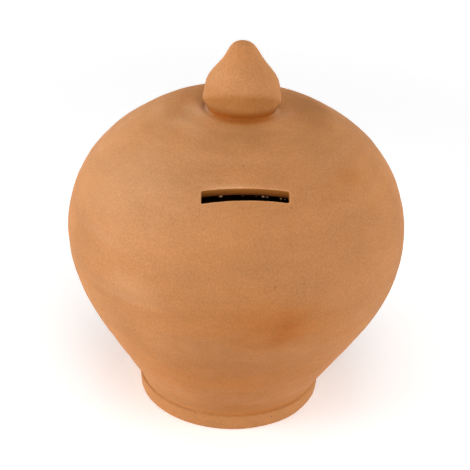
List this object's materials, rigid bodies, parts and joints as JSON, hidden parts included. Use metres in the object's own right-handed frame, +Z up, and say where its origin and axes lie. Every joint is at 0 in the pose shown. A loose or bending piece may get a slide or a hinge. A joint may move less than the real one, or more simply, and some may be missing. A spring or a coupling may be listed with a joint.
{
  "type": "money bank",
  "caption": "Round wheel-thrown terracotta money bank with a coin slot in the shoulder, a projecting foot and a teardrop knob.",
  "frame": {"origin": "centre of the flat underside of the foot, on the surface that the bank stands on", "axes": "+Z up along the pot's axis of revolution, -Y towards the coin slot"},
  "size_m": [0.1602, 0.16, 0.18],
  "materials": {
    "terracotta": "unglazed, matte",
    "foot_clay": "unglazed, matte",
    "knob_clay": "unglazed, matte",
    "slip": "unglazed, matte"
  },
  "bodies": {
    "root": {"thrown_wall": "terracotta", "foot_disc": "foot_clay", "knob": "knob_clay", "foot_slip_seam": "slip", "knob_slip_seam": "slip"}
  },
  "joints": []
}
